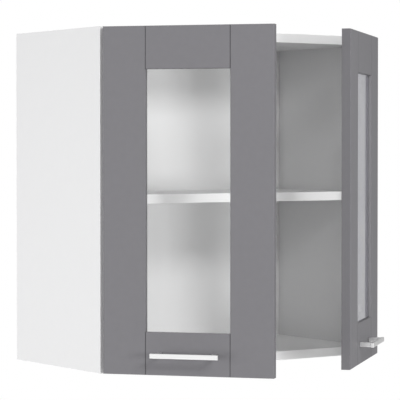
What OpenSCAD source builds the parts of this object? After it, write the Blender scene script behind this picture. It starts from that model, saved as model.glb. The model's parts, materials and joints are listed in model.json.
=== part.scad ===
// Two-door kitchen wall cabinet with framed glass doors, stored with both doors ajar.
// Origin: wall plane, middle of the width, underside. The front faces -Y, up is +Z.

/* [Carcass] */
// Outside width of the carcass
body_w = 600; // [400:10:900]
// Outside height of the carcass
body_h = 590; // [400:10:900]
// Depth of the carcass without the doors
body_d = 284; // [220:2:400]
// Thickness of the carcass boards
board_t = 16; // [15:0.5:19]
// Thickness of the front edge banding
edge_t = 0.8; // [0.4:0.1:2]
// Thickness of the back panel
back_t = 3; // [2.5:0.5:5]
// Space between the wall and the back panel
back_inset = 13; // [11:0.5:20]
// How far the back panel sits in its grooves
groove_d = 6; // [3:0.5:8]

/* [Shelf] */
// Height of the shelf's underside above the carcass underside
shelf_z = 287; // [190:1:380]
// Thickness of the shelf
shelf_t = 16; // [12:0.5:22]
// How far the shelf's front edge lies behind the carcass front
shelf_setback = 20; // [5:1:60]
// Radius of the shelf pins
peg_r = 2.5; // [2:0.25:3]

/* [Doors] */
// Thickness of the door frames
door_t = 16; // [15:0.5:22]
// Gap between a closed door and the carcass front
door_gap = 4; // [3.8:0.1:4.2]
// How far a closed door's edge lies inside the carcass side
door_reveal = 1.5; // [0.5:0.1:2]
// Gap between the two closed doors
mid_gap = 3; // [2:0.5:6]
// Gap above and below a door, measured inside the carcass height
end_gap = 1; // [0:0.5:4]
// Width of the upright frame members
stile_w = 75; // [60:1:90]
// Height of the level frame members
rail_h = 73; // [60:1:90]
// Chamfer round the front of each frame member
frame_ease = 0.9; // [0.3:0.1:2]
// How far the left door stands open
left_open = 50; // [0:1:100]
// How far the right door stands open
right_open = 41; // [0:1:100]

/* [Glass] */
// Thickness of the glass
glass_t = 4; // [3:0.5:5]
// How far the glass reaches behind the frame
glass_lap = 8; // [6:0.5:10]
// Thickness of the seal in front of the glass
seal_t = 0.5; // [0.3:0.1:1]
// Thickness of the beads behind the glass
bead_t = 6.5; // [3:0.5:7]

/* [Handles] */
// Length of the handle bar
handle_l = 118; // [110:1:200]
// Distance between the handle legs
handle_pitch = 96; // [64:32:96]
// Height of the handle bar and its legs
handle_h = 8; // [7:0.5:14]
// Thickness of the handle bar and its legs
handle_t = 6; // [5.5:0.5:10]
// How far the handle stands out of the door
handle_out = 26.5; // [22:0.5:45]
// Height of the handle's middle above the door's bottom edge
handle_z = 35; // [20:1:50]

/* [Hinges] */
// Distance of the hinges' middle from the carcass top and underside
hinge_end = 85; // [70:1:120]
// Radius of the hinge cup
cup_r = 17.3; // [17:0.1:17.5]
// Depth of the hinge cup in the door
cup_depth = 11.3; // [11:0.1:12]
// Radius of the hinge pin
pin_r = 1.25; // [1:0.05:1.4]

/* [Fittings] */
// Radius of the wooden dowels
dowel_r = 4; // [3:0.5:4]
// Radius of the cam locks
cam_r = 7.4; // [6.5:0.1:8]
// Radius of the eye in each wall hanger
hanger_eye_r = 4; // [3:0.5:5]

/* [Hidden] */
$fn = 48;

// Clearances
slide_c = 0.1;      // a part pushed into a bore or a groove
turn_c = 0.05;      // the hinge pin in the arm's eye
seat_c = 0.5;       // a loose panel, pane or shelf in its space
cut = 1;            // how far a cutting shape runs past a face

// Carcass
inner_w = body_w - 2 * board_t;
inner_h = body_h - 2 * board_t;
board_d = body_d - edge_t;
half_w = body_w / 2;

// Corner joints, counted from the front and from the wall
cam_from_end = 24;
cam_high = 11.5;
cam_bore = 13;
cap_t = 1;
bolt_shank_r = 3;
bolt_thread_r = 2.5;
bolt_neck_r = 1.8;
neck_in_cam = 1;
bolt_head = 2;
dowel_in_side = 10;
dowel_in_panel = 20;
cam_from_front = 45;
cam_from_wall = 55;
dowel_from_cam = 32;
cam_ys = [-body_d + cam_from_front, -cam_from_wall];
dowel_ys = [-body_d + cam_from_front + dowel_from_cam, -cam_from_wall - dowel_from_cam];
cam_slot_w = 1.5;
cam_slot_d = 1.5;

// Shelf and its pins
shelf_w = inner_w - 2 * seat_c;
shelf_back_gap = 2;
shelf_back = -(back_inset + back_t + shelf_back_gap);
shelf_d = body_d - shelf_setback + shelf_back;
peg_in_side = 10;
peg_in_shelf = 11;
peg_side_c = 0.4;
peg_up = shelf_t / 2;
pin_from_front = 45;
pin_from_wall = 60;
pin_ys = [-body_d + pin_from_front, -pin_from_wall];

// Wall hangers
hanger_t = 2;
hanger_h = 44;
hanger_w = 30;
hanger_drop = 1;
hanger_back = 0.3;
hanger_eye_x = 18;
hanger_screw_r = 1.9;
hanger_screw_l = 13;
hanger_screw_z = 13;
hanger_screw_y = -back_inset / 2 - 1;
hanger_head_r = 3.4;
hanger_head_t = 1.6;
hanger_z = body_h - board_t - hanger_drop - hanger_h / 2;

// Doors, closed: the back and front faces, the edges, and the size
door_back = -body_d - door_gap;
door_front = door_back - door_t;
door_w = half_w - door_reveal - mid_gap / 2;
door_h = body_h - 2 * end_gap;
door_x = -half_w + door_reveal;
rail_w = door_w - 2 * stile_w;
pane_w = rail_w + 2 * glass_lap;
pane_h = door_h - 2 * rail_h + 2 * glass_lap;
rebate_d = bead_t + glass_t + seal_t;
rail_dowel_l = 28;
rail_dowel_z = 18;
bead_step = 1;
nail_r = 0.6;
nail_l = 14;
nail_proud = 0.2;
nail_shares = [0.12, 0.37, 0.63, 0.88];
bumper_r = 4.5;
bumper_t = door_gap - 0.3;
bumper_in = 30;

// Hinges, measured from the carcass side's outer face and from its front
hinge_zs = [hinge_end, body_h - hinge_end];
pin_from_edge = 7.5;
pin_from_back = 8.3;
pin_u = door_reveal + pin_from_edge;
pin_v = door_gap + pin_from_back;
cup_from_edge = 20.5;
cup_u = door_reveal + cup_from_edge;
cup_c = 0.2;
cup_wall = 1;
cup_floor = 0.8;
flange_t = 1.2;
flange_r = cup_r + 2;
flange_trim = door_reveal + 2.5;
flange_half = 27.5;
tab_from = 3;
tab_w = 13;
cup_screw_z = 22.5;
cup_screw_u = cup_u + 9.5;
cup_screw_r = 1.9;
cup_screw_l = 10.5;
cup_head_r = 3.6;
cup_head_t = 1.5;
lug_before = 4;
lug_w = 7;
lug_cover = 3.6;
lug_in = 6;
lug_out = 9.6;
pin_half = 9.4;
eye_wall = 0.65;
arm_half = 7;
arm_sheet = 1.5;
arm_high = 8;
arm_back = 58;
arm_front = 4.5;
neck_half = 5.3;
neck_past_side = 4.5;
neck_past_pin = 12;
neck_u = max(board_t + neck_past_side, pin_u + neck_past_pin);
neck_t = 1.8;
hook_t = 1.6;
hook_in = 0.2;
plate_t = 3;
plate_half = 8;
plate_front = 12;
plate_ridge = 2.6;
ridge_short = 2;
wing_w = 16;
wing_half = 24;
plate_from_front = 37;
plate_screw_z = 16;
plate_screw_r = 2.4;
plate_screw_l = 11;
plate_head_r = 4.3;
plate_head_t = 1.8;
fixing_from_front = 48;
adjust_from_front = 22;
fixing_r = 2.4;
fixing_lift = 0.5;
fixing_head_r = 4;
fixing_head_t = 2;
adjust_r = 1.9;
adjust_lift = 0.3;
adjust_proud = 0.8;

// Handle screws
handle_screw_r = 2;
handle_screw_in = 10;
handle_head_r = 4;
handle_head_t = 2.2;

board_white = "white";
door_grey = [0.51, 0.51, 0.53];
steel = [0.75, 0.75, 0.77];
bright_metal = [0.9, 0.9, 0.91];
beech = [0.82, 0.68, 0.48];
clear_glass = [0.8, 0.85, 0.88, 0.4];
pale_plastic = [0.93, 0.93, 0.92];

// Rods along each axis, starting at the origin
module rod_x(r, l) { rotate([0, 90, 0]) cylinder(r = r, h = l); }
module rod_y(r, l) { rotate([-90, 0, 0]) cylinder(r = r, h = l); }

// Places its children at the left, and mirrored at the right
module both_sides() { for (m = [0, 1]) mirror([m, 0, 0]) children(); }

// Left half only, or its mirror image
module on_side(mirrored) { mirror([mirrored, 0, 0]) children(); }

// The four corner joints: +X runs into the panel, -X into the side, -Z is the outer face
module each_corner(ys) {
    for (up = [0, 1], y = ys)
        both_sides()
            translate([0, 0, body_h / 2])
                mirror([0, 0, up])
                    translate([-inner_w / 2, y, (board_t - body_h) / 2])
                        children();
}

// The two hinges of the left door: X counts from the side's outer face, -Y is the front
module each_hinge() {
    for (z = hinge_zs) translate([-half_w, -body_d, z]) children();
}

// Swings a closed left door open about its hinge pins, and mirrors it for the right one
module on_door(mirrored, opening) {
    mirror([mirrored, 0, 0])
        translate([-half_w + pin_u, -body_d - pin_v, 0])
            rotate([0, 0, -opening])
                translate([half_w - pin_u, body_d + pin_v, 0])
                    children();
}

// Bores shared by the boards that meet at a corner
module corner_bores() {
    each_corner(dowel_ys)
        translate([-dowel_in_side - seat_c, 0, 0])
            rod_x(dowel_r + slide_c, dowel_in_side + dowel_in_panel + 2 * seat_c);
    each_corner(cam_ys) {
        translate([-dowel_in_side - seat_c, 0, 0])
            rod_x(bolt_thread_r + slide_c, dowel_in_side + 2 * seat_c);
        rod_x(bolt_shank_r + slide_c, cam_from_end);
        translate([cam_from_end, 0, -board_t / 2 - cut])
            cylinder(r = cam_r + slide_c, h = cam_bore + cut);
    }
}

// The groove that takes the back panel on all four sides
module back_groove() {
    translate([-inner_w / 2 - groove_d - seat_c, -back_inset - back_t - slide_c,
               board_t - groove_d - seat_c])
        cube([inner_w + 2 * (groove_d + seat_c), back_t + 2 * slide_c,
              inner_h + 2 * (groove_d + seat_c)]);
}

// The left side board with its bores
module side_board() {
    difference() {
        translate([-half_w, -board_d, 0]) cube([board_t, board_d, body_h]);
        corner_bores();
        back_groove();
        for (y = pin_ys)
            translate([-inner_w / 2 - peg_in_side - seat_c, y, shelf_z + peg_up])
                rod_x(peg_r + turn_c, peg_in_side + seat_c + cut);
        each_hinge()
            for (s = [-1, 1])
                translate([board_t - plate_screw_l - cut, plate_from_front, s * plate_screw_z])
                    rod_x(plate_screw_r + turn_c, plate_screw_l + 2 * cut);
        for (s = [-1, 1])
            translate([-inner_w / 2 - hanger_screw_l + cut, hanger_screw_y,
                       hanger_z + s * hanger_screw_z])
                rod_x(hanger_screw_r + turn_c, hanger_screw_l);
    }
}

module left_side() { color(board_white) side_board(); }
module right_side() { color(board_white) on_side(1) side_board(); }

// A level carcass board between the sides, at height z
module level_board(z) {
    color(board_white)
        difference() {
            translate([-inner_w / 2, -board_d, z]) cube([inner_w, board_d, board_t]);
            corner_bores();
            back_groove();
        }
}

module top_panel() { level_board(body_h - board_t); }
module bottom_panel() { level_board(0); }

module back_panel() {
    color([0.95, 0.95, 0.94])
        translate([-inner_w / 2 - groove_d, -back_inset - back_t, board_t - groove_d])
            cube([inner_w + 2 * groove_d, back_t, inner_h + 2 * groove_d]);
}

// The shelf, slotted from below at its ends so that it drops over the pins
module shelf() {
    slot_w = 2 * (peg_r + peg_side_c);
    color(board_white)
        difference() {
            translate([-shelf_w / 2, shelf_back - shelf_d + edge_t, shelf_z])
                cube([shelf_w, shelf_d - edge_t, shelf_t]);
            both_sides()
                for (y = pin_ys)
                    translate([-inner_w / 2 - cut, y - slot_w / 2, shelf_z - cut])
                        cube([peg_in_shelf + 2 * cut, slot_w, peg_up + peg_r + turn_c + cut]);
        }
}

module side_edge_bands() {
    color(pale_plastic)
        both_sides() translate([-half_w, -body_d, 0]) cube([board_t, edge_t, body_h]);
}

module panel_edge_bands() {
    color(pale_plastic)
        for (z = [0, body_h - board_t])
            translate([-inner_w / 2, -body_d, z]) cube([inner_w, edge_t, board_t]);
}

module shelf_edge_band() {
    color(pale_plastic)
        translate([-shelf_w / 2, shelf_back - shelf_d, shelf_z]) cube([shelf_w, edge_t, shelf_t]);
}

// Pins in the sides that carry the shelf from inside its slots
module shelf_pins() {
    color(steel)
        both_sides()
            for (y = pin_ys)
                translate([-inner_w / 2 - peg_in_side, y, shelf_z + peg_up])
                    rod_x(peg_r, peg_in_side + peg_in_shelf);
}

module carcass_dowels() {
    color(beech)
        each_corner(dowel_ys)
            translate([-dowel_in_side, 0, 0]) rod_x(dowel_r, dowel_in_side + dowel_in_panel);
}

// Bolts that thread into the sides and end in a head inside each cam
module cam_bolts() {
    neck_from = cam_from_end - cam_r + neck_in_cam;
    color(steel)
        each_corner(cam_ys) {
            translate([-dowel_in_side, 0, 0]) rod_x(bolt_thread_r, dowel_in_side);
            rod_x(bolt_shank_r, neck_from);
            translate([neck_from, 0, 0]) rod_x(bolt_neck_r, cam_from_end - neck_from);
            translate([cam_from_end - bolt_head, 0, 0]) rod_x(bolt_shank_r, bolt_head);
        }
}

// Turning locks in the outer faces of the level boards, hollow where they take the bolt head
module cam_locks() {
    color(steel)
        each_corner(cam_ys)
            translate([cam_from_end, 0, -board_t / 2 + cam_bore - cam_high])
                difference() {
                    cylinder(r = cam_r, h = cam_high - slide_c);
                    translate([-cam_r - cut, 0, cam_high - cam_bore + board_t / 2])
                        rod_x(bolt_shank_r + seat_c, cam_r + cut + seat_c);
                    translate([-cam_r / 2, -cam_slot_w / 2, -cut])
                        cube([cam_r, cam_slot_w, cam_slot_d + cut]);
                }
}

module cam_caps() {
    color(pale_plastic)
        each_corner(cam_ys)
            translate([cam_from_end, 0, -board_t / 2]) cylinder(r = cam_r, h = cap_t);
}

// Steel angle behind the back panel with an eye for a wall hook or screw
module hanger() {
    color(steel)
        difference() {
            translate([-inner_w / 2, 0, hanger_z - hanger_h / 2]) {
                translate([0, -back_inset + hanger_back, 0])
                    cube([hanger_t, back_inset - 2 * hanger_back, hanger_h]);
                translate([0, -hanger_back - hanger_t, 0]) cube([hanger_w, hanger_t, hanger_h]);
            }
            translate([-inner_w / 2 + hanger_eye_x, -hanger_back - hanger_t - cut, hanger_z])
                rod_y(hanger_eye_r, hanger_t + 2 * cut);
            for (s = [-1, 1])
                translate([-inner_w / 2 - cut, hanger_screw_y, hanger_z + s * hanger_screw_z])
                    rod_x(hanger_screw_r + slide_c, hanger_t + 2 * cut);
        }
}

module left_hanger() { hanger(); }
module right_hanger() { on_side(1) hanger(); }

module hanger_screws() {
    color(steel)
        both_sides()
            for (s = [-1, 1])
                translate([-inner_w / 2, hanger_screw_y, hanger_z + s * hanger_screw_z]) {
                    translate([hanger_t - hanger_screw_l, 0, 0])
                        rod_x(hanger_screw_r, hanger_screw_l);
                    translate([hanger_t, 0, 0]) rod_x(hanger_head_r, hanger_head_t);
                }
}

// Mounting plate of a hinge on the side's inner face, with the ridge that the arm sits over
module hinge_plate() {
    color(steel)
        each_hinge()
            difference() {
                union() {
                    translate([board_t, plate_front, -plate_half])
                        cube([plate_t, arm_back - plate_front, 2 * plate_half]);
                    translate([board_t, plate_from_front - wing_w / 2, -wing_half])
                        cube([plate_t, wing_w, 2 * wing_half]);
                    translate([board_t, plate_front + ridge_short,
                               -arm_half + arm_sheet + slide_c])
                        cube([plate_t + plate_ridge, arm_back - plate_front - 2 * ridge_short,
                              2 * (arm_half - arm_sheet - slide_c)]);
                }
                for (s = [-1, 1])
                    translate([board_t - cut, plate_from_front, s * plate_screw_z])
                        rod_x(plate_screw_r + slide_c, plate_t + 2 * cut);
                translate([board_t - cut, fixing_from_front, 0])
                    rod_x(fixing_r + turn_c, plate_t + plate_ridge + 2 * cut);
            }
}

module left_hinge_plates() { hinge_plate(); }
module right_hinge_plates() { on_side(1) hinge_plate(); }

module hinge_plate_screws() {
    color(steel)
        both_sides() each_hinge()
            for (s = [-1, 1])
                translate([board_t, plate_from_front, s * plate_screw_z]) {
                    translate([-plate_screw_l, 0, 0])
                        rod_x(plate_screw_r, plate_screw_l + plate_t);
                    translate([plate_t, 0, 0]) rod_x(plate_head_r, plate_head_t);
                }
}

// Cranked arm: a channel over the plate, a neck past the door's edge, and an eye in the cup
module hinge_arm() {
    web_u = board_t + plate_t + arm_high - arm_sheet;
    color(steel)
        each_hinge()
            difference() {
                union() {
                    difference() {
                        translate([board_t + plate_t, arm_front, -arm_half])
                            cube([arm_high, arm_back - arm_front, 2 * arm_half]);
                        translate([board_t + plate_t - cut, arm_front + arm_sheet,
                                   -arm_half + arm_sheet])
                            cube([arm_high - arm_sheet + cut, arm_back, 2 * (arm_half - arm_sheet)]);
                    }
                    translate([neck_u, -pin_v - hook_t + hook_in, -neck_half])
                        cube([neck_t, pin_v + hook_t + arm_front, 2 * neck_half]);
                    translate([pin_u, -pin_v - hook_t + hook_in, -neck_half])
                        cube([neck_u - pin_u + cut, hook_t, 2 * neck_half]);
                    translate([pin_u, -pin_v, -neck_half])
                        cylinder(r = pin_r + turn_c + eye_wall, h = 2 * neck_half);
                }
                translate([pin_u, -pin_v, -neck_half - cut])
                    cylinder(r = pin_r + turn_c, h = 2 * (neck_half + cut));
                translate([web_u - cut, fixing_from_front, 0])
                    rod_x(fixing_r + slide_c, arm_sheet + 2 * cut);
                translate([web_u - cut, adjust_from_front, 0])
                    rod_x(adjust_r + turn_c, arm_sheet + 2 * cut);
            }
}

module left_hinge_arms() { hinge_arm(); }
module right_hinge_arms() { on_side(1) hinge_arm(); }

module arm_fixing_screws() {
    color(steel)
        both_sides() each_hinge()
            translate([board_t, fixing_from_front, 0]) {
                translate([fixing_lift, 0, 0])
                    rod_x(fixing_r, plate_t + arm_high - fixing_lift);
                translate([plate_t + arm_high, 0, 0]) rod_x(fixing_head_r, fixing_head_t);
            }
}

module arm_adjusting_screws() {
    color(steel)
        both_sides() each_hinge()
            translate([board_t + plate_t + plate_ridge + adjust_lift, adjust_from_front, 0])
                rod_x(adjust_r, arm_high - plate_ridge - adjust_lift + adjust_proud);
}

// A frame member with its front edges chamfered: w along X, h along Z, its back at door_back
module frame_board(x, z, w, h) {
    e = frame_ease;
    intersection() {
        translate([x, door_back, z])
            linear_extrude(height = h)
                polygon([[0, 0], [0, -door_t + e], [e, -door_t], [w - e, -door_t],
                         [w, -door_t + e], [w, 0]]);
        translate([x, door_back, z])
            rotate([90, 0, 90])
                linear_extrude(height = w)
                    polygon([[0, 0], [-door_t + e, 0], [-door_t, e], [-door_t, h - e],
                             [-door_t + e, h], [0, h]]);
    }
}

// The space that the seal, the pane and the beads take out of the frame's back
module pane_rebate() {
    translate([door_x + stile_w - glass_lap, door_back - rebate_d,
               end_gap + rail_h - glass_lap])
        cube([pane_w, rebate_d + cut, pane_h]);
}

// Places its children at the ends of both rails: +X runs into the rail, -X into the stile
module each_rail_end() {
    middle = door_x + door_w / 2;
    for (z = [end_gap + rail_h / 2, body_h - end_gap - rail_h / 2], m = [0, 1], s = [-1, 1])
        translate([middle, door_back - door_t / 2, z + s * rail_dowel_z])
            mirror([m, 0, 0])
                translate([-rail_w / 2, 0, 0])
                    children();
}

module rail_dowel_bores() {
    each_rail_end()
        translate([-rail_dowel_l / 2 - seat_c, 0, 0])
            rod_x(dowel_r + slide_c, rail_dowel_l + 2 * seat_c);
}

// Upright member on the hinge side, bored for the two hinge cups
module hinge_stile() {
    color(door_grey)
        difference() {
            frame_board(door_x, end_gap, stile_w, door_h);
            pane_rebate();
            rail_dowel_bores();
            each_hinge() {
                translate([cup_u, -door_gap + cut, 0])
                    rotate([90, 0, 0]) cylinder(r = cup_r + cup_c, h = cup_depth + cup_c + cut);
                for (s = [-1, 1])
                    translate([cup_screw_u, -door_gap - cup_screw_l - seat_c, s * cup_screw_z])
                        rod_y(cup_screw_r + turn_c, cup_screw_l + seat_c + cut);
            }
        }
}

module free_stile() {
    color(door_grey)
        difference() {
            frame_board(door_x + door_w - stile_w, end_gap, stile_w, door_h);
            pane_rebate();
            rail_dowel_bores();
        }
}

module top_rail() {
    color(door_grey)
        difference() {
            frame_board(door_x + stile_w, body_h - end_gap - rail_h, rail_w, rail_h);
            pane_rebate();
            rail_dowel_bores();
        }
}

// Places its children at the two handle legs, on the door's front face
module each_leg() {
    for (s = [-1, 1])
        translate([door_x + door_w / 2 + s * handle_pitch / 2, door_front, end_gap + handle_z])
            children();
}

module bottom_rail() {
    color(door_grey)
        difference() {
            frame_board(door_x + stile_w, end_gap, rail_w, rail_h);
            pane_rebate();
            rail_dowel_bores();
            each_leg()
                translate([0, -cut, 0]) rod_y(handle_screw_r + slide_c, door_t + 2 * cut);
        }
}

module rail_dowels() {
    color(beech)
        each_rail_end() translate([-rail_dowel_l / 2, 0, 0]) rod_x(dowel_r, rail_dowel_l);
}

// A thin upright panel of the pane's size, its back face depth behind the door's back
module pane_sheet(depth, thick, inset) {
    translate([door_x + stile_w - glass_lap + inset, door_back - depth - thick,
               end_gap + rail_h - glass_lap + inset])
        cube([pane_w - 2 * inset, thick, pane_h - 2 * inset]);
}

module glass() {
    color(clear_glass) pane_sheet(bead_t, glass_t, seat_c);
}

module glass_seal() {
    color([0.75, 0.75, 0.76])
        difference() {
            pane_sheet(bead_t + glass_t, seal_t, seat_c);
            pane_sheet(bead_t + glass_t - cut, seal_t + 2 * cut, glass_lap - seat_c);
        }
}

// Four strips that hold the pane in its rebate
module glass_beads() {
    bead_w = glass_lap - bead_step;
    x0 = door_x + stile_w - glass_lap + slide_c;
    z0 = end_gap + rail_h - glass_lap + slide_c;
    full_w = pane_w - 2 * slide_c;
    full_h = pane_h - 2 * slide_c;
    color(door_grey) {
        for (z = [z0, z0 + full_h - bead_w])
            translate([x0, door_back - bead_t, z]) cube([full_w, bead_t, bead_w]);
        for (x = [x0, x0 + full_w - bead_w])
            translate([x, door_back - bead_t, z0 + bead_w + slide_c])
                cube([bead_w, bead_t, full_h - 2 * (bead_w + slide_c)]);
    }
}

// Wire nails through the upright beads into the stiles
module bead_nails() {
    middle = door_x + door_w / 2;
    color(steel)
        for (m = [0, 1], k = nail_shares)
            translate([middle, 0, 0])
                mirror([m, 0, 0])
                    translate([-rail_w / 2 - bead_step + slide_c + nail_proud - nail_l,
                               door_back - bead_t / 2,
                               end_gap + rail_h + k * (door_h - 2 * rail_h)])
                        rod_x(nail_r, nail_l);
}

// Flat bar on two legs, drawn as one casting
module handle() {
    color(bright_metal)
        difference() {
            union() {
                translate([door_x + (door_w - handle_l) / 2, door_front - handle_out,
                           end_gap + handle_z - handle_h / 2])
                    cube([handle_l, handle_t, handle_h]);
                each_leg()
                    translate([-handle_t / 2, -handle_out + handle_t / 2, -handle_h / 2])
                        cube([handle_t, handle_out - handle_t / 2, handle_h]);
            }
            each_leg()
                translate([0, -handle_screw_in - seat_c, 0])
                    rod_y(handle_screw_r + turn_c, handle_screw_in + seat_c + cut);
        }
}

module handle_screws() {
    color(steel)
        each_leg() {
            translate([0, -handle_screw_in, 0]) rod_y(handle_screw_r, handle_screw_in + door_t);
            translate([0, door_t, 0]) rod_y(handle_head_r, handle_head_t);
        }
}

// Cup with a flange on the door's back and two lugs that hold the pin
module hinge_cups() {
    cavity_r = cup_r - cup_wall;
    color(steel)
        each_hinge()
            difference() {
                union() {
                    difference() {
                        union() {
                            translate([cup_u, -door_gap, 0])
                                rotate([90, 0, 0]) cylinder(r = cup_r, h = cup_depth);
                            translate([cup_u, -door_gap, 0]) rod_y(flange_r, flange_t);
                            translate([cup_u + tab_from, -door_gap, -flange_half])
                                cube([tab_w, flange_t, 2 * flange_half]);
                        }
                        translate([cup_u, -door_gap - cup_depth + cup_floor, 0])
                            rod_y(cavity_r, cup_depth + flange_t + cut);
                        translate([flange_trim - flange_r, -door_gap, -flange_r])
                            cube([flange_r, flange_t + cut, 2 * flange_r]);
                    }
                    intersection() {
                        for (s = [0, 1])
                            mirror([0, 0, s])
                                translate([pin_u - lug_before,
                                           -door_gap - cup_depth + cup_floor / 2, lug_in])
                                    cube([lug_w, pin_r + lug_cover, lug_out - lug_in]);
                        translate([cup_u, -door_gap, 0])
                            rotate([90, 0, 0]) cylinder(r = cup_r - cup_wall / 2, h = cup_depth);
                    }
                }
                translate([pin_u, -pin_v, -pin_half - turn_c])
                    cylinder(r = pin_r + turn_c / 2, h = 2 * (pin_half + turn_c));
                for (s = [-1, 1])
                    translate([cup_screw_u, -door_gap - cut, s * cup_screw_z])
                        rod_y(cup_screw_r + slide_c, flange_t + 2 * cut);
            }
}

module cup_screws() {
    color(steel)
        each_hinge()
            for (s = [-1, 1])
                translate([cup_screw_u, -door_gap, s * cup_screw_z]) {
                    translate([0, -cup_screw_l, 0])
                        rod_y(cup_screw_r, cup_screw_l + flange_t);
                    translate([0, flange_t, 0]) rod_y(cup_head_r, cup_head_t);
                }
}

module hinge_pins() {
    color(steel)
        each_hinge() translate([pin_u, -pin_v, -pin_half]) cylinder(r = pin_r, h = 2 * pin_half);
}

// Soft stops on the back of the free stile that meet the level boards' front edges
module bumpers() {
    color(clear_glass)
        for (z = [board_t / 2, body_h - board_t / 2])
            translate([door_x + door_w - bumper_in, door_back, z]) rod_y(bumper_r, bumper_t);
}

module left_hinge_stile() { on_door(0, left_open) hinge_stile(); }
module left_free_stile() { on_door(0, left_open) free_stile(); }
module left_top_rail() { on_door(0, left_open) top_rail(); }
module left_bottom_rail() { on_door(0, left_open) bottom_rail(); }
module left_rail_dowels() { on_door(0, left_open) rail_dowels(); }
module left_glass() { on_door(0, left_open) glass(); }
module left_glass_seal() { on_door(0, left_open) glass_seal(); }
module left_glass_beads() { on_door(0, left_open) glass_beads(); }
module left_bead_nails() { on_door(0, left_open) bead_nails(); }
module left_handle() { on_door(0, left_open) handle(); }
module left_handle_screws() { on_door(0, left_open) handle_screws(); }
module left_hinge_cups() { on_door(0, left_open) hinge_cups(); }
module left_cup_screws() { on_door(0, left_open) cup_screws(); }
module left_hinge_pins() { on_door(0, left_open) hinge_pins(); }
module left_bumpers() { on_door(0, left_open) bumpers(); }

module right_hinge_stile() { on_door(1, right_open) hinge_stile(); }
module right_free_stile() { on_door(1, right_open) free_stile(); }
module right_top_rail() { on_door(1, right_open) top_rail(); }
module right_bottom_rail() { on_door(1, right_open) bottom_rail(); }
module right_rail_dowels() { on_door(1, right_open) rail_dowels(); }
module right_glass() { on_door(1, right_open) glass(); }
module right_glass_seal() { on_door(1, right_open) glass_seal(); }
module right_glass_beads() { on_door(1, right_open) glass_beads(); }
module right_bead_nails() { on_door(1, right_open) bead_nails(); }
module right_handle() { on_door(1, right_open) handle(); }
module right_handle_screws() { on_door(1, right_open) handle_screws(); }
module right_hinge_cups() { on_door(1, right_open) hinge_cups(); }
module right_cup_screws() { on_door(1, right_open) cup_screws(); }
module right_hinge_pins() { on_door(1, right_open) hinge_pins(); }
module right_bumpers() { on_door(1, right_open) bumpers(); }

left_side();
right_side();
top_panel();
bottom_panel();
back_panel();
shelf();
side_edge_bands();
panel_edge_bands();
shelf_edge_band();
shelf_pins();
carcass_dowels();
cam_bolts();
cam_locks();
cam_caps();
left_hanger();
right_hanger();
hanger_screws();
left_hinge_plates();
right_hinge_plates();
hinge_plate_screws();
left_hinge_arms();
right_hinge_arms();
arm_fixing_screws();
arm_adjusting_screws();
left_hinge_stile();
left_free_stile();
left_top_rail();
left_bottom_rail();
left_rail_dowels();
left_glass();
left_glass_seal();
left_glass_beads();
left_bead_nails();
left_handle();
left_handle_screws();
left_hinge_cups();
left_cup_screws();
left_hinge_pins();
left_bumpers();
right_hinge_stile();
right_free_stile();
right_top_rail();
right_bottom_rail();
right_rail_dowels();
right_glass();
right_glass_seal();
right_glass_beads();
right_bead_nails();
right_handle();
right_handle_screws();
right_hinge_cups();
right_cup_screws();
right_hinge_pins();
right_bumpers();
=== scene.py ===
import json
import math

import bmesh
import bpy
import numpy as np
from bpy.props import FloatProperty, FloatVectorProperty, PointerProperty
from mathutils import Matrix, Vector

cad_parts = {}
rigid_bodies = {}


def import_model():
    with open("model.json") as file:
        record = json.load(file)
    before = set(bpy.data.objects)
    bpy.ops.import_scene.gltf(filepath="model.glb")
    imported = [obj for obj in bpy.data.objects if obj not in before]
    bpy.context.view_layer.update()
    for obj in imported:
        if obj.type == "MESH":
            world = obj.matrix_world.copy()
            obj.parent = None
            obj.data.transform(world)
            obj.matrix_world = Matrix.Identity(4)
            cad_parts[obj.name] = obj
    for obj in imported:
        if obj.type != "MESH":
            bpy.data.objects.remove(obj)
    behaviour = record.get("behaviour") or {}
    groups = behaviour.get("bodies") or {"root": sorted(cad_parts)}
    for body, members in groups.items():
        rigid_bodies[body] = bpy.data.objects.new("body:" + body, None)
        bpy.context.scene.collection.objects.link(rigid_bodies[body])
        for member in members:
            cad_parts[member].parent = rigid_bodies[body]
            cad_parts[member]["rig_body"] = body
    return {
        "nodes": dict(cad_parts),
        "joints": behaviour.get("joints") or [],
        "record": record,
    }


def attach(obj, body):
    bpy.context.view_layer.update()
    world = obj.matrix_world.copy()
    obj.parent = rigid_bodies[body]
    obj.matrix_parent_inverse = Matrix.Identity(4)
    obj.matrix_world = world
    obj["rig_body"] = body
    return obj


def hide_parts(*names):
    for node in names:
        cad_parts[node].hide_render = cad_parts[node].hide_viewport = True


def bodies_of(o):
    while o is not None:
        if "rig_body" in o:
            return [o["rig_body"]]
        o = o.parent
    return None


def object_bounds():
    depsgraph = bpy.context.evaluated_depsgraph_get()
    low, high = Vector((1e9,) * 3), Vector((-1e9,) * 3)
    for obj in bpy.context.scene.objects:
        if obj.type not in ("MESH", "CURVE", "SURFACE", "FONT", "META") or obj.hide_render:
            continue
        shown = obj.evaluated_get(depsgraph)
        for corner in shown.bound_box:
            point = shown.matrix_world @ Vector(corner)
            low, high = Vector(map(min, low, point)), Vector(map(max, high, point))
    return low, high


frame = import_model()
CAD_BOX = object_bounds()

bl_info = {
    "name": "Wall Cabinet with Glass Doors",
    "version": (1, 0, 0),
    "blender": (4, 5, 0),
    "location": "3D View > Sidebar > Cabinet",
    "description": "Dresses the packed wall cabinet with finished pieces and sets its stage",
    "category": "Object",
}

MM = 0.001
# Points closer than this are merged
MERGE = 0.002 * MM
# Measures closer than this count as equal
NEAR = 0.01 * MM
# A corner that turns by more than this stays sharp
SHARP = math.radians(32)
# Faces that turn by less than this are one flat face
FLAT = math.radians(0.5)
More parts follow.
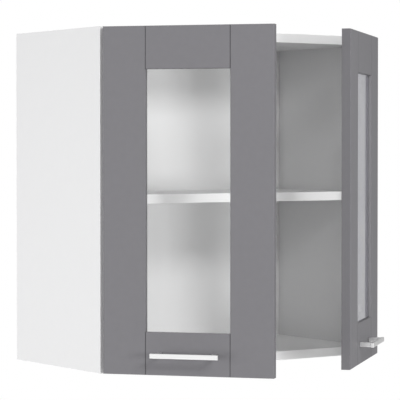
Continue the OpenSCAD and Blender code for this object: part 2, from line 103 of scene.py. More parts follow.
# The shortest edge of a board or frame that is rounded
LONG_EDGE = 12 * MM
SEED = 11
REAR = (0, 1, 0)
WHITE = (1.0, 1.0, 1.0, 1.0)
DOORS = ("left", "right")
SLOTS = {row["node"]: row["material_slot"] for row in frame["record"]["subparts"]}


# Sizes and colours that a user may change

def length(name, description, millimetres):
    return FloatProperty(name=name, description=description, default=millimetres * MM, min=0.0,
                         unit="LENGTH", precision=5)


def share(name, description, default):
    return FloatProperty(name=name, description=description, default=default, min=0.0, max=1.0,
                         subtype="FACTOR")


def power(name, watts):
    return FloatProperty(name=name, description="Power in watts", default=watts, min=0.0,
                         unit="POWER")


def colour(name, description, default):
    return FloatVectorProperty(name=name, description=description, default=default, size=3,
                               min=0.0, max=1.0, subtype="COLOR")


class CabinetSizes(bpy.types.PropertyGroup):
    """Small sizes of the finish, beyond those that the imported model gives."""

    board_edge: length("Board edges", "Rounding of the coated board edges", 0.4)
    band_edge: length("Edge band", "Rounding of the edge bands", 0.35)
    frame_edge: length("Door frame edges", "Rounding of the foil on the door frames", 0.25)
    bead_edge: length("Bead edges", "Rounding of the glazing beads", 0.8)
    glass_edge: length("Glass edges", "Ground edge of the panes", 0.35)
    handle_edge: length("Handle edges", "Rounding of the handles", 0.7)
    sheet_edge: length("Pressed metal edges", "Rounding of plates, arms, cups and hangers", 0.25)
    pin_edge: length("Pin chamfer", "Chamfer at the ends of pins and dowels", 0.6)
    thread_pitch: length("Thread pitch", "Distance between the turns of a screw thread", 1.4)
    recess_share: share("Cross recess", "Width of a screw's cross recess over its head", 0.62)
    dome_share: share("Dome", "Height of a cap's or bumper's dome over its radius", 0.22)


class CabinetColours(bpy.types.PropertyGroup):
    """Base colours of the finishes."""

    board: colour("Board", "Melamine face of the boards", (0.76, 0.76, 0.765))
    band: colour("Edge band", "Edge bands on the front edges", (0.91, 0.91, 0.91))
    back: colour("Back panel", "Coated face of the back panel", (0.90, 0.90, 0.90))
    frame_grey: colour("Door frame", "Grey foil of the door frames", (0.160, 0.157, 0.167))
    steel: colour("Zinc-plated steel", "Screws, bolts, nails and pins", (0.66, 0.66, 0.65))
    cast_zinc: colour("Cast zinc", "Cam locks", (0.47, 0.47, 0.48))
    sheet_zinc: colour("Galvanised sheet", "Wall hangers", (0.60, 0.61, 0.62))
    nickel: colour("Nickel plate", "Hinge cups, arms, plates and pins", (0.70, 0.68, 0.65))
    handle: colour("Handle", "Satin metal of the handles", (0.93, 0.93, 0.93))
    beech: colour("Beech", "Wooden dowels", (0.58, 0.37, 0.20))
    glass: colour("Glass", "Tint of the panes", (0.988, 0.99, 0.989))
    sheen: colour("Pane sheen", "Tint of what a pane mirrors from the side", (0.93, 0.93, 1.0))
    seal: colour("Seal", "Seal in front of the panes", (0.40, 0.40, 0.41))
    plastic: colour("Cap plastic", "Caps over the cam locks", (0.82, 0.82, 0.81))
    bumper: colour("Bumper", "Soft door bumpers", (0.78, 0.80, 0.80))
    dust: colour("Dust", "Dust on faces that point up", (0.70, 0.67, 0.62))


class CabinetStage(bpy.types.PropertyGroup):
    """Camera, lamps and surroundings."""

    lens: FloatProperty(name="Lens", description="Focal length in millimetres on a 36 mm sensor",
                        default=181.77, min=1.0)
    eye: FloatVectorProperty(name="Camera place", description="Where the camera stands", size=3,
                             default=(-2.1244, -3.1892, 0.3824), subtype="TRANSLATION",
                             unit="LENGTH")
    yaw: FloatProperty(name="Yaw", description="Turn of the view from straight ahead to the right",
                       default=math.radians(34.96), subtype="ANGLE")
    pitch: FloatProperty(name="Pitch", description="How far the camera looks down",
                         default=math.radians(1.454), subtype="ANGLE")
    floor_z: FloatProperty(name="Floor height", description="Height of the floor", unit="LENGTH",
                           default=-1.45)
    floor_glow: share("Floor glow", "Light that keeps the floor white where it is seen", 0.55)
    ambient: share("Ambient light", "Strength of the even light from all round", 0.50)
    dark_side: share("Dark side", "What reflections show behind the right side", 0.46)
    front: power("Front softbox", 24.0)
    above: power("Softbox above the camera", 31.0)
    side: power("Side softbox", 30.5)


# Places and measurements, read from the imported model

def body_of(node):
    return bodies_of(frame["nodes"][node])[0]


def from_closed(node):
    """The movement that takes a node from its place with closed doors to its place at rest."""
    joint = next((j for j in frame["joints"] if j["child"] == body_of(node)), None)
    if joint is None:
        return Matrix.Identity(4)
    pivot = Matrix.Translation(joint["pos_m"])
    opened = -math.radians(joint["range_deg"][0])
    return pivot @ Matrix.Rotation(opened, 4, Vector(joint["axis"])) @ pivot.inverted()


def closed_mesh(node):
    """A merged copy of a node's mesh in its place with closed doors."""
    shape = bmesh.new()
    shape.from_mesh(frame["nodes"][node].data)
    bmesh.ops.remove_doubles(shape, verts=shape.verts, dist=MERGE)
    shape.transform(from_closed(node).inverted())
    return shape


def closed_box(node):
    """The lowest and highest corner of a node with closed doors."""
    shape = closed_mesh(node)
    points = np.array([v.co for v in shape.verts])
    shape.free()
    return Vector(points.min(0)), Vector(points.max(0))


def separate_solids(node):
    """The points of each separate solid of a node, with closed doors."""
    shape = closed_mesh(node)
    unseen = set(shape.verts)
    solids = []
    while unseen:
        found = [unseen.pop()]
        for vert in found:
            for edge in vert.link_edges:
                other = edge.other_vert(vert)
                if other in unseen:
                    unseen.remove(other)
                    found.append(other)
        solids.append(np.array([v.co for v in found]))
    shape.free()
    return solids


def rounded(value):
    """A measure to the nearest hundredth of a millimetre."""
    return round(float(value), 5)


def measured_rods(node, axis):
    """Reads a node of equal turned solids that lie along one axis.

    It returns where each one starts, at its head or outer end, its direction from there, and the
    outline that all of them share, as (distance from the start, radius) pairs.
    """
    along = "xyz".index(axis)
    across = [i for i in range(3) if i != along]
    solids = separate_solids(node)
    middle = np.mean([s.mean(0) for s in solids], axis=0)[along]
    starts, directions, outline = [], [], None
    for points in solids:
        centre = (points.min(0) + points.max(0)) / 2
        radius = np.hypot(*(points[:, across] - centre[across]).T)
        ends = []
        for sign in (1, -1):
            height = points[:, along] * sign
            top = height.max()
            widest = radius[height > top - NEAR].max()
            ends.append((rounded(widest), rounded(abs(top - middle * sign)), sign, top))
        sign, top = max(ends)[2:]
        start, direction = centre.copy(), np.zeros(3)
        start[along] = top * sign
        direction[along] = -sign
        starts.append(start)
        directions.append(direction)
        depth = top - points[:, along] * sign
        levels = {(rounded(d), rounded(r)) for d, r in zip(depth, radius)}
        outline = outline or sorted(pair for pair in levels if pair[1] > 10 * NEAR)
    return starts, directions, outline


# Node trees

class Tree:
    """Short ways to build a node tree."""

    def __init__(self, tree):
        self.tree = tree

    def sockets(self, in_out, kind, labels):
        """Adds sockets of one kind to a group. Labels may come with their defaults."""
        for label in labels:
            made = self.tree.interface.new_socket(label, in_out=in_out,
                                                  socket_type="NodeSocket" + kind)
            if isinstance(labels, dict):
                made.default_value = labels[label]

    def node(self, kind, inputs=None, **settings):
        """Adds a node, with its settings and with values or links for its inputs."""
        node = self.tree.nodes.new(kind)
        for key, value in settings.items():
            setattr(node, key, value)
        for key, value in (inputs or {}).items():
            self.put(node, key, value)
        return node

    def first(self, kind, inputs=None, **settings):
        """The first output of a new node."""
        return self.node(kind, inputs, **settings).outputs[0]

    def put(self, node, key, value):
        """Links an output, or each one of a list, to an input, or sets the input's value."""
        found = node.inputs[key] if isinstance(key, int) else None
        found = found or next((s for s in node.inputs if s.identifier == key), None)
        found = found or node.inputs[key]
        for item in value if isinstance(value, list) else [value]:
            if isinstance(item, bpy.types.NodeSocket):
                self.tree.links.new(item, found)
            else:
                found.default_value = item

    def math(self, operation, *values, **settings):
        inputs = dict(enumerate(values))
        return self.first("ShaderNodeMath", inputs, operation=operation, **settings)

    def plus(self, *values, **settings):
        return self.math("ADD", *values, **settings)

    def minus(self, *values):
        return self.math("SUBTRACT", *values)

    def over(self, *values):
        return self.math("DIVIDE", *values)

    def times(self, first, *others):
        for other in others:
            first = self.math("MULTIPLY", first, other)
        return first

    def vector_math(self, operation, *values):
        outputs = self.node("ShaderNodeVectorMath", dict(enumerate(values)),
                            operation=operation).outputs
        return next(o for o in outputs if o.enabled)

    def mix(self, factor, first, second):
        """Mixes two colours."""
        inputs = {"Factor_Float": factor, "A_Color": full(first), "B_Color": full(second)}
        return self.node("ShaderNodeMix", inputs, data_type="RGBA").outputs[2]

    def spread(self, value, low, high, to_low=0.0, to_high=1.0):
        """Maps a range of values to another one, clamped."""
        inputs = {"Value": value, "From Min": low, "From Max": high, "To Min": to_low,
                  "To Max": to_high}
        return self.first("ShaderNodeMapRange", inputs)

    def noise(self, vector, size, detail=2.0, rough=0.5):
        """Noise whose spots measure about size metres."""
        inputs = {"Vector": vector, "Scale": self.over(1.0, size), "Detail": detail,
                  "Roughness": rough}
        return self.first("ShaderNodeTexNoise", inputs)

    def attribute(self, name, output="Fac"):
        return self.node("ShaderNodeAttribute", attribute_name=name).outputs[output]


def full(value):
    """A colour with its alpha, or the socket that was given."""
    if isinstance(value, bpy.types.NodeSocket):
        return value
    return (*value, 1.0)


def shaded(value, factor):
    return tuple(min(1.0, c * factor) for c in value)


def node_group(name, kind, fill):
    """A function that returns the group of that name, and makes it when it is first called."""

    def group():
        tree = bpy.data.node_groups.get(name)
        if tree is None:
            tree = bpy.data.node_groups.new(name, kind)
            fill(Tree(tree))
        return tree

    return group


# Shader groups that several finishes share

def shader_group(name, outputs, **inputs):
    """Makes a shader group of a function that builds its outputs from its inputs."""

    def wrap(build):
        def fill(t):
            t.sockets("INPUT", "Vector", ["Vector"])
            t.sockets("INPUT", "Float", inputs)
            t.sockets("OUTPUT", "Float", outputs)
            found = build(t, t.node("NodeGroupInput").outputs)
            t.node("NodeGroupOutput", dict(zip(outputs, found)))

        return node_group(name, "ShaderNodeTree", fill)

    return wrap


@shader_group("Fine pores", ["Mask", "Height"], Size=1 * MM, Amount=1.0)
def fine_pores(t, given):
    """Tiny dimples and a faint mottle, as on pressed melamine, foil and moulded plastic."""
    grain = t.noise(given["Vector"], given["Size"], 3.0, 0.6)
    cloud = t.noise(given["Vector"], t.times(given["Size"], 14.0), 2.0)
    mask = t.spread(t.plus(grain, t.times(cloud, 0.5)), 0.55, 0.95)
    return mask, t.times(grain, given["Amount"])


@shader_group("Handling marks", ["Value"], Size=100 * MM, Amount=0.05)
def handling_marks(t, given):
    """Broad, soft changes of sheen where hands and cloths have passed."""
    broad = t.noise(given["Vector"], given["Size"], 3.0, 0.6)
    fine = t.noise(given["Vector"], t.times(given["Size"], 0.12), 2.0)
    both = t.plus(t.times(broad, 0.75), t.times(fine, 0.25))
    return (t.times(t.minus(both, 0.5), given["Amount"], 3.0),)


@shader_group("Brushed lines", ["Value", "Height"], Length=30 * MM, Width=0.3 * MM, Amount=0.3)
def brushed_lines(t, given):
    """Fine parallel lines along the vector's X."""
    size = t.first("ShaderNodeCombineXYZ", {"X": given["Length"], "Y": given["Width"],
                                            "Z": given["Width"]})
    lines = t.noise(t.vector_math("DIVIDE", given["Vector"], size), 1.0, 4.0, 0.65)
    return t.times(t.minus(lines, 0.5), given["Amount"]), lines


@shader_group("Edge wear", ["Mask"], Size=12 * MM, Amount=0.5)
def edge_wear(t, given):
    """Broken wear on rounded edges, which the pieces mark with their edge attribute."""
    broken = t.spread(t.noise(given["Vector"], given["Size"], 4.0, 0.65), 0.42, 0.62)
    return (t.times(t.attribute("edge"), broken, given["Amount"]),)


@shader_group("Settled dust", ["Mask"], Amount=0.1)
def settled_dust(t, given):
    """Thin dust on faces that point up."""
    normal = t.node("ShaderNodeNewGeometry").outputs["Normal"]
    up = t.node("ShaderNodeSeparateXYZ", {"Vector": normal}).outputs["Z"]
    patches = t.spread(t.noise(given["Vector"], 35 * MM, 5.0, 0.7), 0.3, 0.75, 0.35, 1.0)
    return (t.times(t.spread(up, 0.6, 0.98), patches, given["Amount"]),)


@shader_group("Wood grain", ["Tone", "Height"], Size=1.2 * MM)
def wood_grain(t, given):
    """Fibres and pores along the vector's X."""
    squeezed = t.vector_math("MULTIPLY", given["Vector"], (0.06, 1.0, 1.0))
    waves = {"Vector": squeezed, "Scale": t.over(0.5, given["Size"]), "Distortion": 3.0,
             "Detail": 2.0}
    rings = t.node("ShaderNodeTexWave", waves, bands_direction="Y").outputs["Fac"]
    fibres = t.noise(squeezed, t.times(given["Size"], 0.3), 4.0, 0.7)
    return t.plus(t.times(rings, 0.45), t.times(fibres, 0.6)), fibres


class Finish(Tree):
    """A material with one Principled shader, and short ways to feed it.

    With own, its effects keep to a door's own directions, as if it were closed.
    """

    def __init__(self, name, constants=None, own=False):
        self.material = bpy.data.materials.new(name)
        self.material.use_nodes = True
        super().__init__(self.material.node_tree)
        self.tree.nodes.clear()
        self.shader = self.node("ShaderNodeBsdfPrincipled", constants)
        self.output = self.node("ShaderNodeOutputMaterial", {"Surface": self.shader.outputs[0]})
        if own:
            self.place = self.attribute("own", "Vector")
        else:
            self.place = self.node("ShaderNodeTexCoord").outputs["Object"]

    def effect(self, group, **inputs):
        """Places a shader group on the material's coordinates."""
        placed = self.node("ShaderNodeGroup", node_tree=group())
        for key, value in {"Vector": self.place, **inputs}.items():
            self.put(placed, key, value)
        return placed.outputs

    def pores(self, size, depth, amount=1.0):
        """Presses fine pores into the surface and returns where they are."""
        found = self.effect(fine_pores, Size=size, Amount=amount)
        self.bump((found["Height"], depth))
        return found["Mask"]

    def speckled(self, base, factor, size, depth, amount=1.0):
        """Presses fine pores and returns the base colour, times the factor in the pores."""
        return self.mix(self.pores(size, depth, amount), base, shaded(base, factor))

    def marks(self, size, amount):
        return self.effect(handling_marks, Size=size, Amount=amount)["Value"]

    def worn(self, tone, bare, size, amount):
        """A colour that gives way to the bare one on worn edges."""
        wear = self.effect(edge_wear, Size=size, Amount=amount)
        return self.mix(wear["Mask"], tone, bare)

    def dusted(self, tone, dust, amount):
        """Sets a colour with dust on it and returns how dust changes the roughness."""
        mask = self.effect(settled_dust, Amount=amount)["Mask"]
        self.colour(self.mix(mask, tone, dust))
        return self.times(mask, 0.8)

    def colour(self, value):
        self.put(self.shader, "Base Color", value)

    def rough(self, base, *changes):
        """Roughness from a base and the values that change it."""
        value = base
        for change in changes:
            value = self.plus(value, change, use_clamp=True)
        self.put(self.shader, "Roughness", value)

    def bump(self, *layers):
        """Bump from (height, distance in metres) pairs, the first one lowest."""
        normal = None
        for height, distance in layers:
            inputs = {"Height": height, "Distance": distance, "Strength": 1.0}
            if normal:
                inputs["Normal"] = normal
            normal = self.node("ShaderNodeBump", inputs).outputs["Normal"]
        self.put(self.shader, "Normal", normal)


# Finishes, one function for each

FINISHES = {}
finished = {}


def finish_for(slot, name, constants=None, own=False):
    """Makes a function that fills a finish the one for a material slot."""

    def wrap(fill):
        FINISHES[slot] = (fill, name, constants, own)
        return fill

    return wrap


def finish(slot):
    """The material of a slot, made when it is first asked for."""
    if slot not in finished:
        fill, name, constants, own = FINISHES[slot]
        f = Finish(name, constants, own)
        fill(f, bpy.context.scene.cabinet_colours)
        finished[slot] = f.material
    return finished[slot]


@finish_for("board", "White melamine")
def coated_board(f, c):
    """White melamine with its pressed pearl texture."""
    tone = f.speckled(c.board, 0.985, 1.1 * MM, 0.03 * MM)
    tone = f.worn(tone, shaded(c.board, 0.90), 20 * MM, 0.35)
    dust = f.dusted(tone, c.dust, 0.10)
    f.rough(0.38, f.marks(160 * MM, 0.05), dust)


@finish_for("edge_band", "White edge band")
def edge_band(f, c):
    """Smooth plastic band, with the faint chatter of the trimming cutter."""
    tone = f.speckled(c.band, 0.98, 1.6 * MM, 0.02 * MM, 0.6)
    f.colour(f.worn(tone, shaded(c.band, 0.9), 15 * MM, 0.5))
    chatter = f.effect(brushed_lines, Length=2.5 * MM, Width=50 * MM, Amount=0.05)
    f.rough(0.33, f.marks(90 * MM, 0.06), chatter["Value"])


@finish_for("back_board", "White back panel")
def back_board(f, c):
    """White lacquered board, greyer along the side boards as painted shade in the inner corners.
    """
    corner_x = closed_box("right_side")[0].x
    x = f.node("ShaderNodeSeparateXYZ", {"Vector": f.place}).outputs["X"]
    # Painted shade: the panel turns darker within a few millimetres of the side boards
    corner = f.spread(f.math("ABSOLUTE", x), corner_x - 14 * MM, corner_x - 5 * MM)
    tone = f.speckled(c.back, 0.985, 2 * MM, 0.04 * MM)
    f.colour(f.mix(corner, tone, shaded(c.back, 0.87)))
    f.rough(0.44, f.marks(220 * MM, 0.06))


@finish_for("door_frame", "Grey door foil", {"Specular IOR Level": 0.25}, own=True)
def door_foil(f, c):
    """Matt grey foil, rubbed lighter on its edges, with painted shade in its V grooves and painted
    light inside the glass opening, as the shade attribute says.
    """
    grey = c.frame_grey
    tone = f.mix(f.pores(0.8 * MM, 0.03 * MM), shaded(grey, 1.03), shaded(grey, 0.97))
    tone = f.worn(tone, shaded(grey, 1.45), 18 * MM, 0.5)
    shade = f.attribute("shade")
    # Painted shade: faces marked below 0, the chamfers in the joints' V grooves, turn darker
    tone = f.mix(f.spread(shade, 0.0, -1.0), tone, shaded(grey, 0.6))
    # Painted light: faces marked above 0, the reveals inside the glass opening, turn lighter
    tone = f.mix(f.spread(shade, 0.0, 1.0), tone, shaded(grey, 1.35))
    dust = f.dusted(tone, c.dust, 0.07)
    f.rough(0.52, f.marks(70 * MM, 0.05), dust)


@finish_for("glass", "Clear glass", {"IOR": 1.5, "Transmission Weight": 1.0,
                                     "Specular IOR Level": 0.5}, own=True)
def clear_glass(f, c):
    """Float glass with a faint waviness, a mirror where it is seen from its edge.

    Light that falls through the pane on a matt face goes straight on.
    """
    f.colour(full(c.glass))
    f.rough(0.004, f.marks(50 * MM, 0.012))
    f.bump((f.noise(f.place, 110 * MM, 1.0), 0.12 * MM))
    lets_through = f.node("ShaderNodeBsdfTransparent", {"Color": full(shaded(c.glass, 0.95))})
    mirror = f.node("ShaderNodeBsdfAnisotropic", {"Color": full(c.sheen), "Roughness": 0.01})
    facing = f.node("ShaderNodeLayerWeight", {"Blend": 0.5}).outputs["Facing"]
    glancing = f.spread(facing, 0.72, 0.86, 0.0, 0.7)
    path = f.node("ShaderNodeLightPath").outputs
    straight = f.math("MAXIMUM", path["Is Shadow Ray"], path["Is Diffuse Ray"])
    surface = f.shader.outputs[0]
    for factor, other in ((glancing, mirror), (straight, lets_through)):
        inputs = {0: factor, 1: surface, 2: other.outputs[0]}
        surface = f.first("ShaderNodeMixShader", inputs)
    f.put(f.output, "Surface", surface)


@finish_for("seal", "Grey seal", {"Specular IOR Level": 0.35})
def seal_strip(f, c):
    """Soft grey seal tape with a matt skin."""
    pores = f.pores(0.6 * MM, 0.05 * MM)
    f.colour(f.mix(pores, c.seal, shaded(c.seal, 0.88)))
    f.rough(0.6, f.times(pores, 0.12))


@finish_for("fitting_steel", "Zinc-plated steel", {"Metallic": 1.0})
def plated_steel(f, c):
    """Bright zinc plate, cloudy from the bath, with dark specks."""
    tone = f.speckled(c.steel, 0.88, 0.4 * MM, 0.02 * MM)
    f.colour(f.worn(tone, shaded(c.steel, 1.15), 2 * MM, 0.5))
    f.rough(0.32, f.marks(6 * MM, 0.12))


@finish_for("cam_zinc", "Cast zinc", {"Metallic": 1.0})
def cast_zinc(f, c):
    """Dull die-cast zinc with a granular skin."""
    f.colour(f.speckled(c.cast_zinc, 0.75, 0.7 * MM, 0.12 * MM))
    f.rough(0.5, f.marks(8 * MM, 0.2))


@finish_for("hanger_steel", "Galvanised sheet", {"Metallic": 1.0})
def galvanised_sheet(f, c):
    """Galvanised sheet with its flowers of zinc."""
    flowers = f.node("ShaderNodeTexVoronoi", {"Vector": f.place, "Scale": 180.0})
    flower = f.first("ShaderNodeSeparateColor", {"Color": flowers.outputs["Color"]})
    tone = f.mix(flower, shaded(c.sheet_zinc, 0.88), shaded(c.sheet_zinc, 1.08))
    f.colour(f.worn(tone, shaded(c.sheet_zinc, 0.7), 4 * MM, 0.6))
    f.rough(0.33, f.times(flower, 0.16))
    f.pores(0.5 * MM, 0.03 * MM)


@finish_for("hinge_steel", "Nickel plate", {"Metallic": 1.0}, own=True)
def nickel_plate(f, c):
    """Nickel-plated pressed steel, drawn along the piece."""
    lines = f.effect(brushed_lines, Length=20 * MM, Width=0.3 * MM, Amount=0.12)
    f.colour(f.worn(c.nickel, shaded(c.nickel, 1.2), 3 * MM, 0.5))
    f.rough(0.24, lines["Value"], f.marks(20 * MM, 0.08))
    f.bump((lines["Height"], 0.01 * MM))


@finish_for("handle_metal", "Satin handle metal", {"Metallic": 1.0}, own=True)
def handle_metal(f, c):
    """Pale satin metal, brushed along the bar."""
    lines = f.effect(brushed_lines, Length=40 * MM, Width=0.25 * MM, Amount=0.16)
    tone = f.mix(f.spread(lines["Height"], 0.3, 0.7), shaded(c.handle, 0.95), c.handle)
    f.colour(f.worn(tone, shaded(c.handle, 1.05), 6 * MM, 0.4))
    f.rough(0.36, lines["Value"], f.marks(20 * MM, 0.08))
    f.bump((lines["Height"], 0.01 * MM))


@finish_for("dowel_wood", "Raw beech", own=True)
def beech_wood(f, c):
    """Raw beech with its fibres along each dowel."""
    grain = f.effect(wood_grain, Size=1.4 * MM)
    tone = f.spread(grain["Tone"], 0.2, 0.85)
    f.colour(f.mix(tone, shaded(c.beech, 0.72), shaded(c.beech, 1.22)))
    f.rough(0.62, f.times(grain["Height"], 0.15))
    f.bump((grain["Height"], 0.1 * MM))


@finish_for("cap_plastic", "White cap plastic")
def cap_plastic(f, c):
    """White moulded plastic."""
    f.colour(f.speckled(c.plastic, 0.97, 0.5 * MM, 0.04 * MM))
    f.rough(0.4, f.marks(10 * MM, 0.06))


@finish_for("bumper", "Soft bumper", {"IOR": 1.45, "Transmission Weight": 0.55})
def soft_bumper(f, c):
    """Cloudy clear polyurethane."""
    pores = f.pores(1.2 * MM, 0.06 * MM)
    f.colour(f.mix(pores, c.bumper, shaded(c.bumper, 0.93)))
    f.rough(0.28, f.times(pores, 0.15))


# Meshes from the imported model

def round_corners(shape, width, steps, shortest, sharp_end):
    """Rounds the long outer corners and marks the new faces with the edge attribute.

    Corners next to a face that points along sharp_end stay as they were sawn.
    """
    mark = shape.faces.layers.float.new("edge")
    corners = []
    for edge in shape.edges:
        if not edge.is_manifold or not edge.is_convex or edge.calc_length() < shortest:
            continue
        if edge.calc_face_angle() < SHARP:
            continue
        if sharp_end and any(f.normal.dot(Vector(sharp_end)) > 0.9 for f in edge.link_faces):
            continue
        corners.append(edge)
    made = bmesh.ops.bevel(shape, geom=corners, offset=width, offset_type="OFFSET", profile=0.5,
                           segments=steps, affect="EDGES", clamp_overlap=False)
    for face in made["faces"]:
        face[mark] = 1.0


def keep_own_place(mesh):
    """Stores each point's place, while the doors are closed, as the own attribute."""
    places = np.empty(len(mesh.vertices) * 3, dtype=np.float32)
    mesh.vertices.foreach_get("co", places)
    mesh.attributes.new("own", "FLOAT_VECTOR", "POINT").data.foreach_set("vector", places)


def add_piece(mesh, node):
    """Makes a mesh, in its place with closed doors, the piece that stands for a node."""
    keep_own_place(mesh)
    mesh.transform(from_closed(node))
    mesh.materials.clear()
    mesh.materials.append(finish(SLOTS[node]))
    mesh.shade_smooth()
    mesh.set_sharp_from_angle(angle=SHARP)
    piece = bpy.data.objects.new(node + "_finished", mesh)
    bpy.context.scene.collection.objects.link(piece)
    evened = piece.modifiers.new("Even shading", "WEIGHTED_NORMAL")
    evened.keep_sharp = True
    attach(piece, body_of(node))
    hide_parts(node)


def eased_piece(node, width, steps=2, shortest=4 * MM, sharp_end=None, shade=None, cuts=()):
    """A CAD node's own shape with its outer corners rounded.

    The shade attribute of each face is what shade(face) gives; the door foil paints shade where it
    is below 0 and light where it is above 0. Faces are divided at the heights in cuts, so that
    each part can have its own shade.
    """
    shape = closed_mesh(node)
    bmesh.ops.dissolve_limit(shape, angle_limit=FLAT, verts=shape.verts, edges=shape.edges)
    for height in cuts:
        bmesh.ops.bisect_plane(shape, geom=shape.verts[:] + shape.edges[:] + shape.faces[:],
                               plane_co=(0, 0, height), plane_no=(0, 0, 1))
    if shade:
        mark = shape.faces.layers.float.new("shade")
        for face in shape.faces:
            face[mark] = shade(face)
    round_corners(shape, width, steps, shortest, sharp_end)
    mesh = bpy.data.meshes.new(node + "_finished")
    shape.to_mesh(mesh)
    shape.free()
    add_piece(mesh, node)


# Geometry node trees for pieces that repeat or follow a path

def shape_tree(name, inputs, spun=True):
    """Makes a tree of a function that builds one shape, which goes on each point of a mesh.

    The shape starts at its point and runs along the point's direction attribute. If it is spun,
    each one has a turn of its own about it.
    """

    def wrap(build):
        def fill(t):
            t.tree.is_modifier = True
            t.sockets("INPUT", "Geometry", ["Points"])
            t.sockets("INPUT", "Float", inputs)
            t.sockets("INPUT", "Material", ["Finish"])
            t.sockets("OUTPUT", "Geometry", ["Shapes"])
            given = t.node("NodeGroupInput").outputs
            shape = build(t, given)
            direction = t.node("GeometryNodeInputNamedAttribute", {"Name": "direction"},
                               data_type="FLOAT_VECTOR").outputs["Attribute"]
            aimed = t.first("FunctionNodeAlignRotationToVector", {"Vector": direction}, axis="Z")
            most = 2 * math.pi if spun else 0.0
            turn = t.node("FunctionNodeRandomValue", {"Max_001": most, "Seed": SEED}).outputs[1]
            spin = t.first("FunctionNodeAxisAngleToRotation", {"Axis": (0, 0, 1), "Angle": turn})
            way = t.first("FunctionNodeRotateRotation", {"Rotation": aimed, "Rotate By": spin},
                          rotation_space="LOCAL")
            placed = t.first("GeometryNodeInstanceOnPoints",
                             {"Points": given["Points"], "Instance": shape, "Rotation": way})
            real = t.first("GeometryNodeRealizeInstances", {"Geometry": placed})
            coated = t.first("GeometryNodeSetMaterial",
                             {"Geometry": real, "Material": given["Finish"]})
            t.node("NodeGroupOutput", {"Shapes": coated})

        return node_group(name, "GeometryNodeTree", fill)

    return wrap


def turned(t, outline, sides=24, profile=None):
    """Turns an outline of (height, radius) pairs about Z, closed at both ends."""
    line = t.first("GeometryNodeCurvePrimitiveLine", {"End": (0, 0, 1)})
    points = t.first("GeometryNodeResampleCurve", {"Curve": line, "Count": len(outline)})
    index = t.first("GeometryNodeInputIndex")
    picked = []
    for column in zip(*outline):
        switch = t.node("GeometryNodeIndexSwitch", data_type="FLOAT")
        while len(switch.index_switch_items) < len(outline):
            switch.index_switch_items.new()
        for place, value in enumerate((index, *column)):
            t.put(switch, place, value)
        picked.append(switch.outputs[0])
    height = t.first("ShaderNodeCombineXYZ", {"Z": picked[0]})
    spine = t.first("GeometryNodeSetPosition", {"Geometry": points, "Position": height})
    if profile is None:
        profile = t.first("GeometryNodeCurvePrimitiveCircle", {"Resolution": sides, "Radius": 1.0})
    return t.first("GeometryNodeCurveToMesh", {"Curve": spine, "Profile Curve": profile,
                                               "Scale": picked[1], "Fill Caps": True})


def thread(t, radius, start, end, pitch):
    """A helical ridge along Z that reaches the given radius."""
    depth = t.times(radius, 0.22)
    core = t.minus(radius, depth)
    height = t.minus(end, start)
    spiral = t.first("GeometryNodeCurveSpiral",
                     {"Resolution": 12, "Rotations": t.over(height, pitch), "Start Radius": core,
                      "End Radius": core, "Height": height})
    ridge = t.first("GeometryNodeCurvePrimitiveCircle", {"Resolution": 3, "Radius": depth})
    swept = t.first("GeometryNodeCurveToMesh", {"Curve": spiral, "Profile Curve": ridge,
                                                "Fill Caps": True})
    lifted = t.first("ShaderNodeCombineXYZ", {"Z": start})
    return t.first("GeometryNodeTransform", {"Geometry": swept, "Translation": lifted})


def crossed(t, body, reach, depth):
    """Cuts a cross recess of that width and about half that depth into the end at Z = 0."""
    narrow = t.times(reach, 0.2)
    cutters = []
    for x, y in ((reach, narrow), (narrow, reach)):
        size = t.first("ShaderNodeCombineXYZ", {"X": x, "Y": y, "Z": depth})
        cutters.append(t.first("GeometryNodeMeshCube", {"Size": size}))
    return t.first("GeometryNodeMeshBoolean", {"Mesh 1": body, "Mesh 2": cutters},
                   operation="DIFFERENCE", solver="EXACT")


def joined(t, *shapes):
    return t.first("GeometryNodeJoinGeometry", {"Geometry": list(shapes)})


@shape_tree("Cross-head screw", {"Length": 12 * MM, "Head radius": 4 * MM, "Head height": 2 * MM,
                                 "Shank radius": 2 * MM, "Recess share": 0.6,
                                 "Thread pitch": 1.4 * MM})
def screw_tree(t, given):
    """A screw with a domed head, a cross recess and a thread."""
    head_r, head_h, shank_r = (given[k] for k in ("Head radius", "Head height", "Shank radius"))
    core = t.times(shank_r, 0.8)
    tip = t.minus(given["Length"], shank_r)
    dome = ((0.0, 0.6), (0.12, 0.82), (0.4, 0.96), (0.75, 1.0), (0.999, 1.0))
    head = [(t.times(head_h, up), t.times(head_r, out)) for up, out in dome]
    body = turned(t, [*head, (head_h, core), (tip, core), (given["Length"], t.times(core, 0.3))])
    reach = t.times(head_r, given["Recess share"], 2.0)
    cut = crossed(t, body, reach, t.times(head_h, 1.3))
    start = t.plus(head_h, core)
    return joined(t, cut, thread(t, shank_r, start, tip, given["Thread pitch"]))


@shape_tree("Grub screw", {"Length": 6 * MM, "Radius": 2 * MM, "Thread pitch": 0.8 * MM})
def grub_tree(t, given):
    """A headless screw with a cross recess in its end."""
    radius, length = given["Radius"], given["Length"]
    core = t.times(radius, 0.85)
    rim = t.times(radius, 0.3)
    tip = t.minus(length, rim)
    body = turned(t, [(0.0, t.times(core, 0.8)), (rim, core), (tip, core),
                      (length, t.times(core, 0.75))])
    cut = crossed(t, body, t.times(radius, 1.15), radius)
    return joined(t, cut, thread(t, radius, rim, tip, given["Thread pitch"]))


